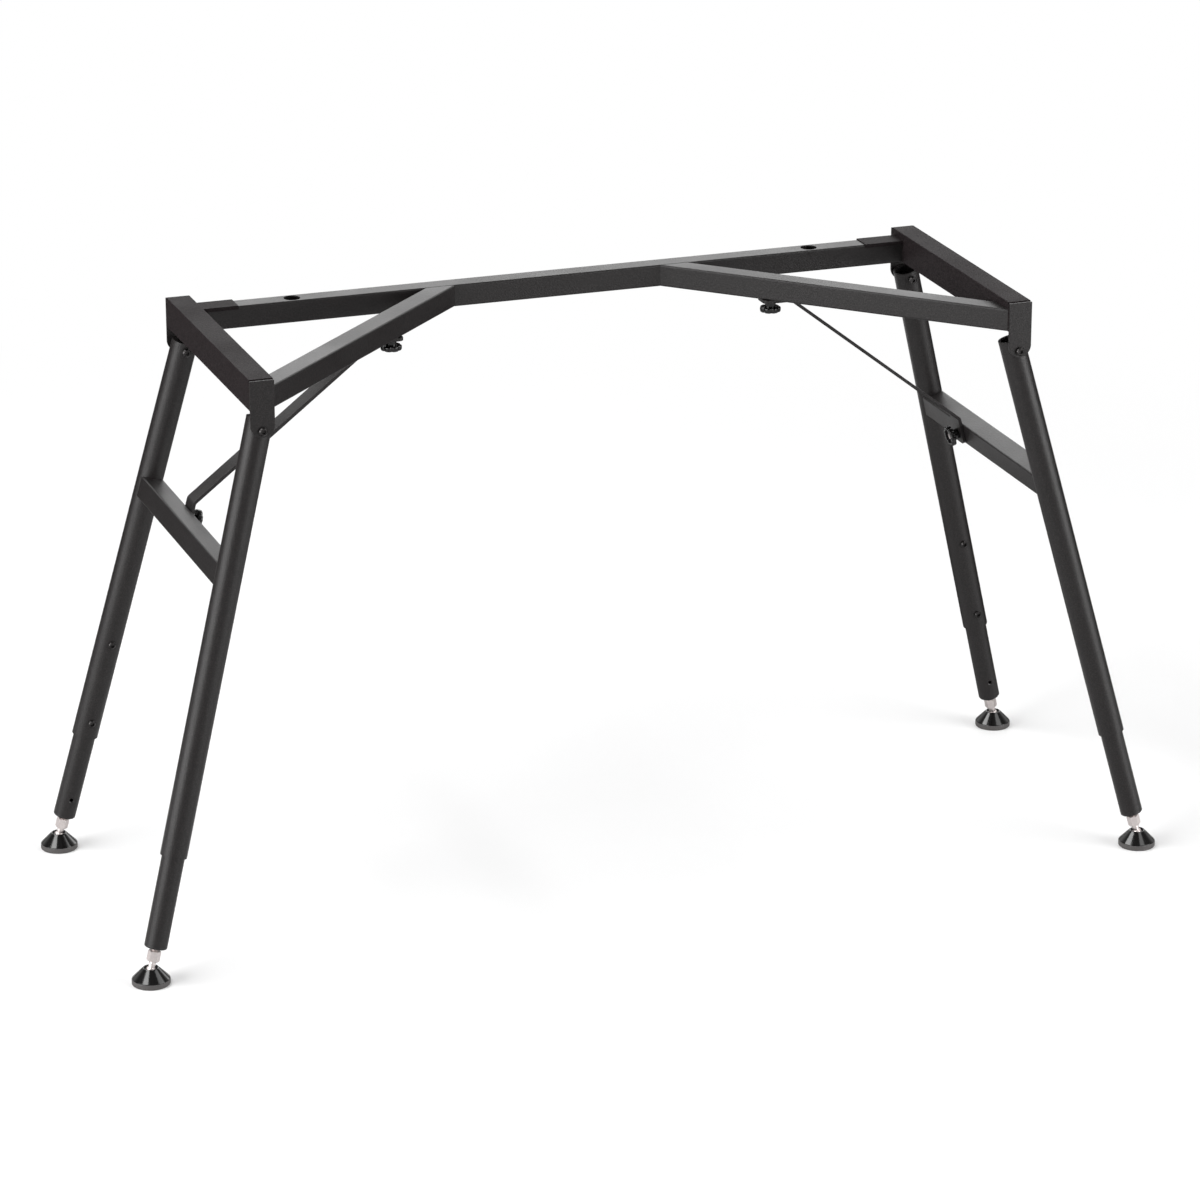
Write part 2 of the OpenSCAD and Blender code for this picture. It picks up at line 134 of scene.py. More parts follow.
def linear(hex_colour: str) -> Colour:
    """Turns an sRGB hex colour into the linear colour that a shader takes.

    Args:
        hex_colour: Six hex digits after a hash, such as "#1d1b1c".

    Returns:
        Linear red, green, blue and an alpha of 1.
    """
    def channel(place: int) -> float:
        """One channel of the colour, in linear light."""
        value = int(hex_colour[place:place + 2], 16) / 255
        return value / 12.92 if value <= 0.04045 else ((value + 0.055) / 1.055) ** 2.4

    return channel(1), channel(3), channel(5), 1.0


def add_node(
    tree: bpy.types.NodeTree,
    kind: str,
    settings: dict | None = None,
    links: dict | None = None,
) -> bpy.types.Node:
    """Adds a node with its settings and links.

    Args:
        tree: The node tree that gets the node.
        kind: Blender's name of the node's type.
        settings: Values by the name of a property, or by the name or number of an input.
        links: Output sockets by the name or number of the input that they feed.

    Returns:
        The new node.
    """
    node = tree.nodes.new(kind)
    for key, value in (settings or {}).items():
        if isinstance(key, str) and hasattr(node, key):
            setattr(node, key, value)
        else:
            node.inputs[key].default_value = value
    for key, socket in (links or {}).items():
        tree.links.new(socket, node.inputs[key])
    return node


def blank_material(name: str) -> tuple[bpy.types.Material, bpy.types.NodeTree]:
    """Makes a material whose node tree is empty.

    Args:
        name: The material's name.

    Returns:
        The material and its node tree.
    """
    material = bpy.data.materials.new(name)
    material.use_nodes = True
    material.node_tree.nodes.clear()
    return material, material.node_tree


@dataclass(frozen=True)
class PowderCoat:
    """Polyester powder coat, sprayed on steel and baked.

    To the eye it is a near-black satin skin with a fine orange peel, a little uneven
    in gloss, which turns light grey where it is seen at a low angle.
    """

    name: str
    colour: str
    speck_colour: str
    roughness: float
    roughness_spread: float
    gloss_level: float
    # The real peel is about 0.5 mm across. It is drawn coarser, so that it shows.
    peel_mm: float = 2.4
    peel_depth_mm: float = 0.24
    # Specks of pigment, real ones 0.1 mm, drawn coarser for the same reason.
    speck_mm: float = 1.5
    # Slow change in thickness along a sprayed tube.
    drift_mm: float = 90.0

    def make(self) -> bpy.types.Material:
        """Builds the coat's material.

        Returns:
            The coat.
        """
        material, tree = blank_material(self.name)
        place = add_node(tree, "ShaderNodeTexCoord").outputs["Object"]
        speck = add_node(
            tree, "ShaderNodeTexNoise",
            {"Scale": 1 / (self.speck_mm * MM), "Detail": 2.0, "Roughness": 0.6},
            {"Vector": place},
        )
        drift = add_node(
            tree, "ShaderNodeTexNoise",
            {"Scale": 1 / (self.drift_mm * MM), "Detail": 1.0}, {"Vector": place},
        )
        peel = add_node(
            tree, "ShaderNodeTexNoise",
            {"Scale": 1 / (self.peel_mm * MM), "Detail": 1.5, "Roughness": 0.5},
            {"Vector": place},
        )
        share = add_node(
            tree, "ShaderNodeMapRange",
            {"From Min": 0.42, "From Max": 0.72},
            {"Value": speck.outputs["Fac"]},
        )
        colour = add_node(
            tree, "ShaderNodeMix",
            {"data_type": "RGBA", COLOUR_A: linear(self.colour), COLOUR_B: linear(self.speck_colour)},
            {SHARE: share.outputs["Result"]},
        )
        rough = add_node(
            tree, "ShaderNodeMapRange",
            {
                "From Min": 0.3, "From Max": 0.7,
                "To Min": self.roughness - self.roughness_spread,
                "To Max": self.roughness + self.roughness_spread,
            },
            {"Value": drift.outputs["Fac"]},
        )
        bump = add_node(
            tree, "ShaderNodeBump",
            {"Strength": 1.0, "Distance": self.peel_depth_mm * MM},
            {"Height": peel.outputs["Fac"]},
        )
        shader = add_node(
            tree, "ShaderNodeBsdfPrincipled",
            {"IOR": 1.5, "Specular IOR Level": self.gloss_level},
            {
                "Base Color": colour.outputs[COLOUR_OUT],
                "Roughness": rough.outputs["Result"],
                "Normal": bump.outputs["Normal"],
            },
        )
        add_node(tree, "ShaderNodeOutputMaterial", None, {"Surface": shader.outputs[0]})
        return material


@dataclass(frozen=True)
class BlackOxide:
    """Steel screws, headed and then blackened in a hot salt bath.

    To the eye they are dark, dry metal with soft highlights on their rims.
    """

    name: str = "black_oxide_screw_steel"
    colour: str = "#474545"
    stain_colour: str = "#2c2b2b"
    least_roughness: float = 0.24
    most_roughness: float = 0.44
    stain_mm: float = 1.5

    def make(self) -> bpy.types.Material:
        """Builds the blackened steel's material.

        Returns:
            The blackened steel.
        """
        material, tree = blank_material(self.name)
        place = add_node(tree, "ShaderNodeTexCoord").outputs["Object"]
        stain = add_node(
            tree, "ShaderNodeTexNoise",
            {"Scale": 1 / (self.stain_mm * MM), "Detail": 3.0}, {"Vector": place},
        )
        colour = add_node(
            tree, "ShaderNodeMix",
            {"data_type": "RGBA", COLOUR_A: linear(self.colour), COLOUR_B: linear(self.stain_colour)},
            {SHARE: stain.outputs["Fac"]},
        )
        rough = add_node(
            tree, "ShaderNodeMapRange",
            {"To Min": self.least_roughness, "To Max": self.most_roughness},
            {"Value": stain.outputs["Fac"]},
        )
        shader = add_node(
            tree, "ShaderNodeBsdfPrincipled", {"Metallic": 1.0},
            {"Base Color": colour.outputs[COLOUR_OUT], "Roughness": rough.outputs["Result"]},
        )
        add_node(tree, "ShaderNodeOutputMaterial", None, {"Surface": shader.outputs[0]})
        return material


@dataclass(frozen=True)
class ZincPlate:
    """Bright zinc on turned steel.

    To the eye it is pale, slightly warm metal with fine rings left by the lathe.
    """

    name: str = "bright_zinc_turned_steel"
    colour: str = "#efe7e5"
    haze_colour: str = "#d6cdcb"
    least_roughness: float = 0.3
    most_roughness: float = 0.52
    # The lathe's real feed is about 0.1 mm a turn. It is drawn coarser, so that it shows.
    ring_mm: float = 0.7
    ring_depth_mm: float = 0.03
    haze_mm: float = 3.0

    def make(self) -> bpy.types.Material:
        """Builds the zinc's material. Its rings follow the piece's own length.

        Returns:
            The zinc.
        """
        material, tree = blank_material(self.name)
        place = add_node(tree, "ShaderNodeTexCoord").outputs["Object"]
        length = add_node(tree, "ShaderNodeAttribute", {"attribute_name": LENGTH_NAME})
        rings = add_node(
            tree, "ShaderNodeTexNoise",
            {"noise_dimensions": "1D", "Scale": 1 / self.ring_mm, "Detail": 2.0},
            {"W": length.outputs["Fac"]},
        )
        haze = add_node(
            tree, "ShaderNodeTexNoise",
            {"Scale": 1 / (self.haze_mm * MM), "Detail": 2.0}, {"Vector": place},
        )
        colour = add_node(
            tree, "ShaderNodeMix",
            {"data_type": "RGBA", COLOUR_A: linear(self.colour), COLOUR_B: linear(self.haze_colour)},
            {SHARE: haze.outputs["Fac"]},
        )
        rough = add_node(
            tree, "ShaderNodeMapRange",
            {"To Min": self.least_roughness, "To Max": self.most_roughness},
            {"Value": haze.outputs["Fac"]},
        )
        bump = add_node(
            tree, "ShaderNodeBump",
            {"Strength": 0.6, "Distance": self.ring_depth_mm * MM},
            {"Height": rings.outputs["Fac"]},
        )
        shader = add_node(
            tree, "ShaderNodeBsdfPrincipled", {"Metallic": 1.0},
            {
                "Base Color": colour.outputs[COLOUR_OUT],
                "Roughness": rough.outputs["Result"],
                "Normal": bump.outputs["Normal"],
            },
        )
        add_node(tree, "ShaderNodeOutputMaterial", None, {"Surface": shader.outputs[0]})
        return material


@dataclass(frozen=True)
class MouldedPlastic:
    """Black plastic, moulded under heat in a polished or a plain steel mould.

    To the eye it is deep black, with sharp reflections where the mould was polished,
    broken by faint flow marks and a few dull patches from handling.
    """

    name: str
    colour: str
    roughness: float
    dull_roughness: float
    dust_colour: str = "#1c1b1b"
    flow_mm: float = 14.0
    flow_depth_mm: float = 0.01
    dust_mm: float = 2.2

    def make(self) -> bpy.types.Material:
        """Builds the plastic's material.

        Returns:
            The plastic.
        """
        material, tree = blank_material(self.name)
        place = add_node(tree, "ShaderNodeTexCoord").outputs["Object"]
        flow = add_node(
            tree, "ShaderNodeTexNoise",
            {"Scale": 1 / (self.flow_mm * MM), "Detail": 1.0}, {"Vector": place},
        )
        dust = add_node(
            tree, "ShaderNodeTexNoise",
            {"Scale": 1 / (self.dust_mm * MM), "Detail": 4.0, "Roughness": 0.7},
            {"Vector": place},
        )
        rough = add_node(
            tree, "ShaderNodeMapRange",
            {
                "From Min": 0.45, "From Max": 0.8,
                "To Min": self.roughness, "To Max": self.dull_roughness,
            },
            {"Value": dust.outputs["Fac"]},
        )
        dusty = add_node(
            tree, "ShaderNodeMapRange", {"From Min": 0.55, "From Max": 1.0},
            {"Value": dust.outputs["Fac"]},
        )
        shade = add_node(
            tree, "ShaderNodeMix",
            {"data_type": "RGBA", COLOUR_A: linear(self.colour), COLOUR_B: linear(self.dust_colour)},
            {SHARE: dusty.outputs["Result"]},
        )
        bump = add_node(
            tree, "ShaderNodeBump",
            {"Strength": 0.5, "Distance": self.flow_depth_mm * MM},
            {"Height": flow.outputs["Fac"]},
        )
        shader = add_node(
            tree, "ShaderNodeBsdfPrincipled", {"IOR": 1.5},
            {
                "Base Color": shade.outputs[COLOUR_OUT],
                "Roughness": rough.outputs["Result"],
                "Normal": bump.outputs["Normal"],
            },
        )
        add_node(tree, "ShaderNodeOutputMaterial", None, {"Surface": shader.outputs[0]})
        return material


@dataclass(frozen=True)
class Rubber:
    """Black rubber, compression moulded.

    To the eye it is charcoal with no sharp highlights and a slightly dusty skin.
    """

    name: str = "moulded_black_rubber"
    colour: str = "#3c3a3a"
    dust_colour: str = "#5a5756"
    roughness: float = 0.55
    grain_mm: float = 1.2
    grain_depth_mm: float = 0.04

    def make(self) -> bpy.types.Material:
        """Builds the rubber's material.

        Returns:
            The rubber.
        """
        material, tree = blank_material(self.name)
        place = add_node(tree, "ShaderNodeTexCoord").outputs["Object"]
        grain = add_node(
            tree, "ShaderNodeTexNoise",
            {"Scale": 1 / (self.grain_mm * MM), "Detail": 4.0, "Roughness": 0.65},
            {"Vector": place},
        )
        colour = add_node(
            tree, "ShaderNodeMix",
            {"data_type": "RGBA", COLOUR_A: linear(self.colour), COLOUR_B: linear(self.dust_colour)},
            {SHARE: grain.outputs["Fac"]},
        )
        bump = add_node(
            tree, "ShaderNodeBump",
            {"Strength": 0.7, "Distance": self.grain_depth_mm * MM},
            {"Height": grain.outputs["Fac"]},
        )
        shader = add_node(
            tree, "ShaderNodeBsdfPrincipled", {"IOR": 1.52, "Roughness": self.roughness},
            {"Base Color": colour.outputs[COLOUR_OUT], "Normal": bump.outputs["Normal"]},
        )
        add_node(tree, "ShaderNodeOutputMaterial", None, {"Surface": shader.outputs[0]})
        return material


FINISHES = {
    Slot.RAIL_COAT: PowderCoat(
        "satin_black_powder_coat", "#181616", "#2b2828",
        roughness=0.42, roughness_spread=0.03, gloss_level=0.32,
    ),
    Slot.CHANNEL_COAT: PowderCoat(
        "matt_black_powder_coat", "#171314", "#2f292a",
        roughness=0.62, roughness_spread=0.04, gloss_level=0.08,
        peel_mm=2.6, peel_depth_mm=0.28,
    ),
    Slot.SCREW: BlackOxide(),
    Slot.PLUG: MouldedPlastic(
        "plain_black_plastic", "#141313", roughness=0.38, dull_roughness=0.55,
    ),
    Slot.ZINC: ZincPlate(),
    Slot.PAD: MouldedPlastic(
        "polished_black_plastic", "#0b0a0a", roughness=0.12, dull_roughness=0.2,
    ),
    Slot.SOLE: Rubber(),
    Slot.KNOB: MouldedPlastic(
        "glossy_black_phenolic", "#090808", roughness=0.1, dull_roughness=0.2,
    ),
    Slot.STUD: ZincPlate(
        "dull_zinc_stud_steel", "#a8a3a1", least_roughness=0.28, most_roughness=0.5,
    ),
}


def outline(
    mesh: bmesh.types.BMesh, corners_mm: Sequence[tuple[float, float]],
) -> list[bmesh.types.BMVert | bmesh.types.BMEdge]:
    """Draws an open outline in the plane of X and Z, and returns its vertices and edges."""
    points = [mesh.verts.new((radius * MM, 0, height * MM)) for radius, height in corners_mm]
    return points + [mesh.edges.new(pair) for pair in zip(points, points[1:])]


def quarter(steps: int) -> list[tuple[float, float]]:
    """Sine and cosine at even steps from 0 to 90 degrees."""
    turns = [math.pi / 2 * step / steps for step in range(steps + 1)]
    return [(math.sin(turn), math.cos(turn)) for turn in turns]


@dataclass
class Blank:
    """A mesh on the bench, before it becomes a finished piece."""

    mesh: bmesh.types.BMesh

    @classmethod
    def from_node(cls, node: bpy.types.Object) -> "Blank":
        """Copies a frame node and merges its loose triangles into clean faces.

        Args:
            node: The frame's object.

        Returns:
            The copy, whose flat faces are whole again.
        """
        mesh = bmesh.new()
        mesh.from_mesh(node.data)
        bmesh.ops.remove_doubles(mesh, verts=mesh.verts, dist=MERGE_MM * MM)
        bmesh.ops.dissolve_limit(
            mesh, angle_limit=math.radians(FLAT_DEG), verts=mesh.verts, edges=mesh.edges,
        )
        return cls(mesh)

    @classmethod
    def turned(cls, profile_mm: Sequence[tuple[float, float]]) -> "Blank":
        """Turns an outline about the Z axis.

        Args:
            profile_mm: Radius and height of each corner, from the axis and back to it.

        Returns:
            The turned blank, with its poles closed.
        """
        mesh = bmesh.new()
        bmesh.ops.spin(
            mesh, geom=outline(mesh, profile_mm), cent=(0, 0, 0), axis=(0, 0, 1),
            angle=math.tau, steps=TURN_STEPS, use_merge=True,
        )
        return cls(mesh).closed()

    def closed(self, merge_mm: float = MERGE_MM) -> "Blank":
        """Merges doubles, fills open ends and turns the faces outwards.

        Args:
            merge_mm: How far apart doubles are at most.

        Returns:
            The same blank.
        """
        bmesh.ops.remove_doubles(self.mesh, verts=self.mesh.verts, dist=merge_mm * MM)
        bmesh.ops.holes_fill(self.mesh, edges=self.mesh.edges)
        bmesh.ops.recalc_face_normals(self.mesh, faces=self.mesh.faces)
        return self

    def rounded(
        self, radius_mm: float, segments: int = 3, test: EdgeTest | None = None,
        sharper_than: float = 30.0,
    ) -> "Blank":
        """Rounds the sharp edges that pass a test.

        Args:
            radius_mm: Width of the rounding.
            segments: Number of faces across it.
            test: Picks edges. All sharp edges are rounded without one.
            sharper_than: Least angle of a sharp edge, in degrees.

        Returns:
            The same blank.
        """
        least = math.radians(sharper_than)
        edges = [
            edge for edge in self.mesh.edges
            if len(edge.link_faces) == 2 and edge.calc_face_angle(0.0) > least
            and (test is None or test(edge))
        ]
        bmesh.ops.bevel(
            self.mesh, geom=edges, offset=radius_mm * MM, offset_type="OFFSET",
            segments=segments, profile=0.5, affect="EDGES", clamp_overlap=True,
            material=-1,
        )
        return self

    def cut(self, point: Vector, normal: Vector) -> "Blank":
        """Cuts off what lies beyond a plane and closes the cut.

        Args:
            point: A point of the plane.
            normal: The direction of the side that goes.

        Returns:
            The same blank.
        """
        everything = self.mesh.verts[:] + self.mesh.edges[:] + self.mesh.faces[:]
        bmesh.ops.bisect_plane(
            self.mesh, geom=everything, plane_co=point, plane_no=normal,
            dist=MERGE_MM * MM, clear_outer=True,
        )
        bmesh.ops.holes_fill(self.mesh, edges=self.mesh.edges)
        return self

    def placed(self, matrix: Matrix) -> "Blank":
        """Moves the blank to its place."""
        bmesh.ops.transform(self.mesh, matrix=matrix, verts=self.mesh.verts)
        return self

    def with_part(self, other: "Blank") -> "Blank":
        """Adds another blank's mesh to this one.

        Args:
            other: The blank that is used up.

        Returns:
            The same blank.
        """
        spare = bpy.data.meshes.new("spare")
        other.mesh.to_mesh(spare)
        other.mesh.free()
        self.mesh.from_mesh(spare)
        bpy.data.meshes.remove(spare)
        return self

    def measured(self, origin: Vector, axis: Vector) -> "Blank":
        """Writes down each vertex's length along an axis, which the lathe's rings follow.

        Args:
            origin: Where the length is 0.
            axis: The direction that it grows in.

        Returns:
            The same blank.
        """
        length = self.mesh.verts.layers.float.new(LENGTH_NAME)
        for vert in self.mesh.verts:
            vert[length] = (vert.co - origin).dot(axis) / MM
        return self


def runs_along(axis: Vector, least_cosine: float = 0.999) -> EdgeTest:
    """Makes a test that picks edges parallel to an axis.

    Args:
        axis: The direction.
        least_cosine: Least cosine of the angle between the two.

    Returns:
        The test.
    """
    def test(edge: bmesh.types.BMEdge) -> bool:
        """True if the edge is parallel to the axis."""
        line = edge.verts[1].co - edge.verts[0].co
        return line.length > 0 and abs(line.normalized().dot(axis)) > least_cosine

    return test


def as_long_as(length_mm: float, tolerance_mm: float = 0.1) -> EdgeTest:
    """Makes a test that picks edges of one length, give or take the tolerance."""
    return lambda edge: abs(edge.calc_length() / MM - length_mm) <= tolerance_mm


def reaches_in_front_of(y: float) -> EdgeTest:
    """Makes a test that picks edges with an end in front of the upright plane at y metres."""
    return lambda edge: min(vert.co.y for vert in edge.verts) < y


def toward(axis: Vector, origin: Vector) -> Matrix:
    """Makes the matrix that takes Z to an axis and the world's origin to its start."""
    return Matrix.Translation(origin) @ axis.to_track_quat("Z", "Y").to_matrix().to_4x4()


@dataclass
class Bench:
    """Hangs finished pieces on the frame, in the place of its plain nodes."""

    frame: dict
    sharp_deg: float = 50.0
    materials: dict[Slot, bpy.types.Material] = field(init=False)

    def __post_init__(self) -> None:
        """Builds the finishes."""
        self.materials = {slot: finish.make() for slot, finish in FINISHES.items()}

    def node(self, name: str) -> bpy.types.Object:
        """The frame's object of that name."""
        return self.frame["nodes"][name]

    def joint(self, name: str) -> dict:
        """The record's joint of that name."""
        return next(row for row in self.frame["joints"] if row["name"] == name)

    def hang(self, blank: Blank, node_name: str, made_as: str, slot: Slot) -> None:
        """Turns a blank into a piece that takes a node's place and rides on its body.

        Args:
            blank: The finished mesh. It is used up.
            node_name: The node that it replaces.
            made_as: What the piece is, which ends its name.
            slot: The finish that it takes.
        """
        name = f"{node_name}_{made_as}"
        body = self.node(node_name)["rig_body"]
        for face in blank.mesh.faces:
            face.smooth = True
        mesh = bpy.data.meshes.new(name)
        blank.mesh.to_mesh(mesh)
        blank.mesh.free()
        mesh.materials.append(self.materials[slot])
        mesh.set_sharp_from_angle(angle=math.radians(self.sharp_deg))
        piece = bpy.data.objects.new(name, mesh)
        bpy.context.scene.collection.objects.link(piece)
        shading = piece.modifiers.new("even_shading", "WEIGHTED_NORMAL")
        shading.keep_sharp = True
        shading.weight = 100
        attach(piece, body)
        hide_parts(node_name)
        LOG.info("%s rides on %s", name, body)

    def dress(
        self, node_name: str, made_as: str, slot: Slot, radius_mm: float, segments: int = 3,
    ) -> None:
        """Rounds the sharp edges of a node's own shape and hangs it in the node's place."""
        blank = Blank.from_node(self.node(node_name)).rounded(radius_mm, segments)
        self.hang(blank, node_name, made_as, slot)


@dataclass
class TopFrame:
    """The welded top: a rear rail, two diagonals, two end channels, tabs and caps."""

    bench: Bench
    rail_edge_mm: float = 0.5
    bend_mm: float = 1.1
    sheet_edge_mm: float = 0.35
    screw_edge_mm: float = 0.35
    # How near to a face an edge has to be to lie in it.
    weld_near_mm: float = 0.2
    bend_near_mm: float = 0.1

    def build(self) -> None:
        """Builds every piece of the top."""
        self.rails()
        for side in Side:
            self.channel(side)
            self.cap(side)
            for row in Row:
                self.tab(side, row)
        self.screws()

    def rails(self) -> None:
        """Square tubes, sawn and deburred, but sharp where they are welded to the rear rail."""
        free = reaches_in_front_of(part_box("rear_rail")[0].y - self.weld_near_mm * MM)
        for name, test in (("rear_rail", None), ("diagonal_left", free), ("diagonal_right", free)):
            blank = Blank.from_node(self.bench.node(name)).rounded(self.rail_edge_mm, test=test)
            self.bench.hang(blank, name, "tube", Slot.RAIL_COAT)

    def channel(self, side: Side) -> None:
        """Folded sheet, with a wider rounding along its two bends.

        Args:
            side: The end of the stand.
        """
        name = f"end_channel_{side.value}"
        blank = Blank.from_node(self.bench.node(name))
        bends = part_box(name)[1].z - self.bend_near_mm * MM
        along = runs_along(Vector((0, 1, 0)))
        blank.rounded(
            self.bend_mm, segments=4,
            test=lambda edge: along(edge) and edge.verts[0].co.z > bends,
        )
        blank.rounded(self.sheet_edge_mm, segments=2, sharper_than=40)
        self.bench.hang(blank, name, "sheet", Slot.CHANNEL_COAT)

    def cap(self, side: Side) -> None:
        """Thin folded plate over the rear rail's end."""
        name = f"rail_cap_{side.value}"
        self.bench.dress(name, "plate", Slot.CHANNEL_COAT, self.sheet_edge_mm, segments=2)

    def tab(self, side: Side, row: Row) -> None:
        """Flat plate with a round lower end."""
        name = f"tab_{row.value}_{side.value}"
        self.bench.dress(name, "plate", Slot.RAIL_COAT, self.sheet_edge_mm)

    def screws(self) -> None:
        """Pivot bolts outside the tabs and sleeve nuts inside the legs."""
        for name in ("pivot_bolts", "pivot_sleeve_nuts"):
            self.bench.dress(name, "steel", Slot.SCREW, self.screw_edge_mm)


@dataclass
class LegFrame:
    """Two splayed upper tubes, their cross tube and the height bolts."""

    bench: Bench
    side: Side
    tube_edge_mm: float = 0.4
    screw_edge_mm: float = 0.3

    def build(self) -> None:
        """Builds every piece of one leg frame."""
        for row in Row:
            self.coated(f"leg_{row.value}_{self.side.value}")
        self.coated(f"cross_tube_{self.side.value}")
        bolts = f"height_bolts_{self.side.value}"
        self.bench.dress(bolts, "steel", Slot.SCREW, self.screw_edge_mm)

    def coated(self, name: str) -> None:
        """Round tube, whose cut edges the coat rounds."""
        self.bench.dress(name, "steel", Slot.RAIL_COAT, self.tube_edge_mm)


@dataclass
class Foot:
    """One leg's lower end: sliding tube, plug, levelling screw, pad and sole."""

    bench: Bench
    side: Side
    row: Row
    hole_edge_mm: float = 0.2
    hexagon_edge_mm: float = 0.25
    # The levelling screw's stem, measured up its axis from the ball's centre.
    stem_start_mm: float = 27.1
    stem_end_mm: float = 73.0
    # The node's plain stem is cut off this far down in the hexagon, so that none of it stays.
    stem_cut_mm: float = 0.05
    thread_mm: float = 10.0
    pitch_mm: float = 1.5
    thread_depth_mm: float = 0.9
    thread_steps: int = 32
    thread_merge_mm: float = 0.01
    # The pad.
    pad_d_mm: float = 50.0
    pad_h_mm: float = 22.5
    pad_edge_mm: float = 0.34
    rim_inset_mm: float = 0.5
    rim_h_mm: float = 0.7
    shoulder_d_mm: float = 23.0
    shoulder_h_mm: float = 1.2
    mouth_d_mm: float = 18.4
    mouth_lip_mm: float = 1.0
    socket_d_mm: float = 14.6
    socket_steps: int = 9
    ball_h_mm: float = 17.5
    # The sole under it.
    sole_h_mm: float = 7.2
    sole_low_edge_mm: float = 1.0
    sole_high_edge_mm: float = 0.4
    sole_round_mm: float = 0.27

    @property
    def corner(self) -> str:
        """The corner's name, as the frame's nodes use it."""
        return f"{self.row.value}_{self.side.value}"

    def build(self) -> None:
        """Builds every piece of one foot."""
        self.lower_tube()
        self.plug()
        self.levelling_screw()
        self.pad()
        self.sole()

    def lower_tube(self) -> None:
        """Sliding tube with its row of countersunk holes."""
        name = f"lower_{self.corner}"
        self.bench.dress(name, "tube", Slot.RAIL_COAT, self.hole_edge_mm, segments=2)

    def plug(self) -> None:
        """End plug whose flange closes the tube."""
        name = f"plug_{self.corner}"
        self.bench.dress(name, "moulding", Slot.PLUG, self.hole_edge_mm, segments=2)

    def levelling_screw(self) -> None:
        """Ball, neck and hexagon, with a real thread above them."""
        name = f"spindle_{self.corner}"
        ball = Vector(self.bench.joint(f"pad_tilt_{self.corner}")["pos_m"])
        up = -Vector(self.bench.joint(f"level_{self.corner}")["axis"]).normalized()
        blank = Blank.from_node(self.bench.node(name))
        blank.cut(ball + up * (self.stem_start_mm - self.stem_cut_mm) * MM, up)
        blank.rounded(self.hexagon_edge_mm, segments=2, sharper_than=25)
        blank.with_part(self.thread().placed(toward(up, ball))).measured(ball, up)
        self.bench.hang(blank, name, "steel", Slot.ZINC)

    def thread(self) -> Blank:
        """Sweeps one ridge along a helix, from the hexagon to the stem's end.

        Returns:
            The threaded stem, with both ends closed.
        """
        mesh = bmesh.new()
        crest = self.thread_mm / 2
        root = crest - self.thread_depth_mm
        flat = self.pitch_mm / 8
        low = self.stem_start_mm - self.pitch_mm / 2
        high = low + self.pitch_mm
        ridge = [
            (root, low), (root, low + flat), (crest, self.stem_start_mm),
            (crest, self.stem_start_mm + flat), (root, high),
        ]
        turns = int((self.stem_end_mm - self.stem_start_mm) / self.pitch_mm)
        bmesh.ops.spin(
            mesh, geom=outline(mesh, ridge), cent=(0, 0, 0), axis=(0, 0, 1),
            dvec=(0, 0, self.pitch_mm * MM / self.thread_steps),
            angle=math.tau * turns, steps=self.thread_steps * turns,
        )
        return Blank(mesh).closed(self.thread_merge_mm)

    def standing(self) -> Matrix:
        """The placing of a piece on the floor under the ball."""
        middle = sum(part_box(f"sole_{self.corner}"), Vector()) / 2
        return Matrix.Translation((middle.x, middle.y, 0))

    def pad(self) -> None:
        """Polished cone with a round shoulder and a socket for the ball."""
        rim = self.pad_d_mm / 2 - self.rim_inset_mm
        mouth = self.mouth_d_mm / 2
        socket = self.socket_d_mm / 2
        bowl = [
            (socket * sine, self.ball_h_mm - socket * cosine)
            for sine, cosine in quarter(self.socket_steps)
        ]
        blank = Blank.turned([
            (0, self.sole_h_mm), (rim, self.sole_h_mm), (rim, self.sole_h_mm + self.rim_h_mm),
            (self.shoulder_d_mm / 2, self.pad_h_mm - self.shoulder_h_mm),
            (mouth + self.mouth_lip_mm, self.pad_h_mm), (mouth, self.pad_h_mm),
            *reversed(bowl),
        ])
        blank.rounded(self.pad_edge_mm, sharper_than=20).placed(self.standing())
        self.bench.hang(blank, f"pad_{self.corner}", "moulding", Slot.PAD)

    def sole(self) -> None:
        """Rubber ring under the pad, with a soft lower edge."""
        radius = self.pad_d_mm / 2
        blank = Blank.turned([
            (0, 0), (radius - self.sole_low_edge_mm, 0), (radius, self.sole_low_edge_mm),
            (radius, self.sole_h_mm - self.sole_high_edge_mm),
            (radius - self.sole_high_edge_mm, self.sole_h_mm), (0, self.sole_h_mm),
        ])
        blank.rounded(self.sole_round_mm, sharper_than=12).placed(self.standing())
        self.bench.hang(blank, f"sole_{self.corner}", "rubber", Slot.SOLE)


